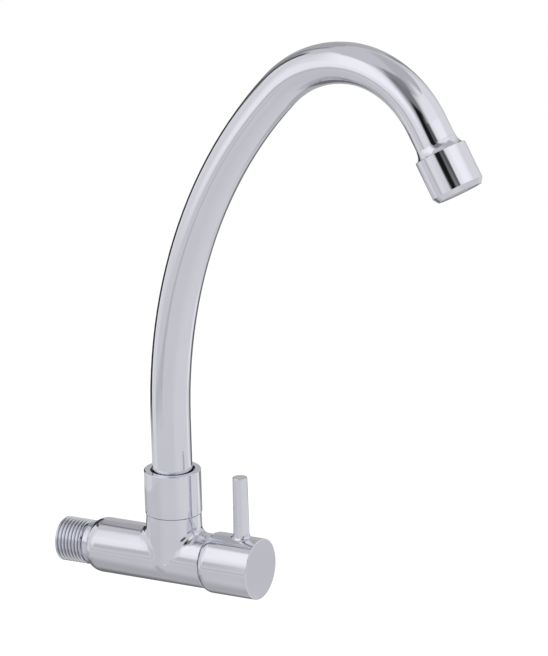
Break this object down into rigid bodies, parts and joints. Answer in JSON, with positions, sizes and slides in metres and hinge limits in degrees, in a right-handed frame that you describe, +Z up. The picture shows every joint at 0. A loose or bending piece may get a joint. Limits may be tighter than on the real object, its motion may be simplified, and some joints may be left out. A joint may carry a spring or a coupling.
{
  "type": "cold water tap",
  "caption": "Wall-mounted cold water tap with a lever handle, a ceramic quarter-turn headwork and a tall swivelling swan-neck spout with an aerator.",
  "frame": {"origin": "middle of the plain neck behind the inlet's thread, on the body's axis, 16.7 mm from the inlet's end face", "axes": "+X along the body away from the wall, +Z up, parallel to the spout's swivel axis, +Y to the right of someone who faces the wall"},
  "size_m": [0.2348, 0.0504, 0.2757],
  "materials": {
    "chrome": "polished",
    "brass": "turned",
    "steel": "plain",
    "rubber": "matt",
    "ceramic": "lapped",
    "white_plastic": "moulded",
    "grey_plastic": "moulded"
  },
  "bodies": {
    "tap_body": {"body": "chrome", "bonnet": "brass", "bonnet_o_ring": "rubber", "seat_seal": "rubber", "fixed_disc": "ceramic", "spout_nut": "chrome", "thrust_washer": "white_plastic", "friction_ring": "white_plastic"},
    "handle_assembly": {"handle": "chrome", "grub_screw": "steel", "grub_screw_plug": "grey_plastic", "spindle": "brass", "spindle_o_rings": "rubber", "spindle_washer": "white_plastic", "spindle_circlip": "steel", "moving_disc": "ceramic"},
    "spout_assembly": {"spout_tube": "chrome", "spout_bushing": "brass", "spout_o_rings": "rubber", "spout_end_fitting": "chrome", "aerator_housing": "chrome", "aerator_washer": "rubber", "aerator_screen": "steel", "aerator_insert": "white_plastic", "aerator_grid": "white_plastic"}
  },
  "joints": [
    {"name": "handle_turn", "type": "hinge", "parent": "tap_body", "child": "handle_assembly", "pos_m": [0.0626, 0, 0], "axis": [1, 0, 0], "range_deg": [0, 90]},
    {"name": "spout_swivel", "type": "hinge", "parent": "tap_body", "child": "spout_assembly", "pos_m": [0.0434, 0, 0.0344], "axis": [0, 0, 1], "continuous": true}
  ]
}
